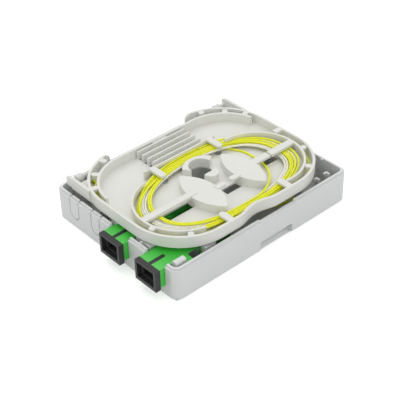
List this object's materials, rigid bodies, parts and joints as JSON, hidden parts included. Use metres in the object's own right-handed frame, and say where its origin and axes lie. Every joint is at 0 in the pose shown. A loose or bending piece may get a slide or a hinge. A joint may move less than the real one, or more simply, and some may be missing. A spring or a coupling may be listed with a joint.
{
  "type": "fibre wall box",
  "caption": "Wall-mounted fibre outlet box shown without its cover: shallow base, green adapters with dust caps, and a hinged splice tray with coiled fibre.",
  "frame": {"origin": "centre of the base's rear face, the face that lies on the wall", "axes": "+Z away from the wall, +Y away from the port wall, +X away from the tray hinge"},
  "size_m": [0.083, 0.1103, 0.0223],
  "materials": {
    "base_plastic": "satin",
    "tray_plastic": "satin",
    "green_plastic": "satin",
    "black_plastic": "matte",
    "spring_steel": "brushed",
    "white_ceramic": "gloss",
    "yellow_jacket": "satin",
    "pale_jacket": "satin"
  },
  "bodies": {
    "base": {"base_shell": "base_plastic", "adapter_housing_1": "green_plastic", "adapter_housing_2": "green_plastic", "adapter_spring_clip_1": "spring_steel", "adapter_spring_clip_2": "spring_steel", "latch_insert_1": "green_plastic", "latch_insert_2": "green_plastic", "alignment_sleeve_1": "white_ceramic", "alignment_sleeve_2": "white_ceramic", "plug_grip_1": "green_plastic", "plug_grip_2": "green_plastic", "plug_core_1": "green_plastic", "plug_core_2": "green_plastic", "ferrule_1": "white_ceramic", "ferrule_2": "white_ceramic", "plug_boot_1": "green_plastic", "plug_boot_2": "green_plastic", "pigtail_lead_1": "pale_jacket", "pigtail_lead_2": "yellow_jacket"},
    "tray": {"splice_tray": "tray_plastic", "fibre_coil_pale": "pale_jacket", "fibre_coil_yellow": "yellow_jacket", "fibre_tail_yellow": "yellow_jacket"},
    "cap_1": {"dust_cap_1": "black_plastic"},
    "cap_2": {"dust_cap_2": "black_plastic"}
  },
  "joints": [
    {"name": "tray_hinge", "type": "hinge", "parent": "base", "child": "tray", "pos_m": [-0.0368, 0, 0.0183], "axis": [0, -1, 0], "range_deg": [0, 80]},
    {"name": "cap_1_slide", "type": "slide", "parent": "base", "child": "cap_1", "axis": [0, -1, 0], "range_m": [0, 0.009]},
    {"name": "cap_2_slide", "type": "slide", "parent": "base", "child": "cap_2", "axis": [0, -1, 0], "range_m": [0, 0.009]}
  ]
}
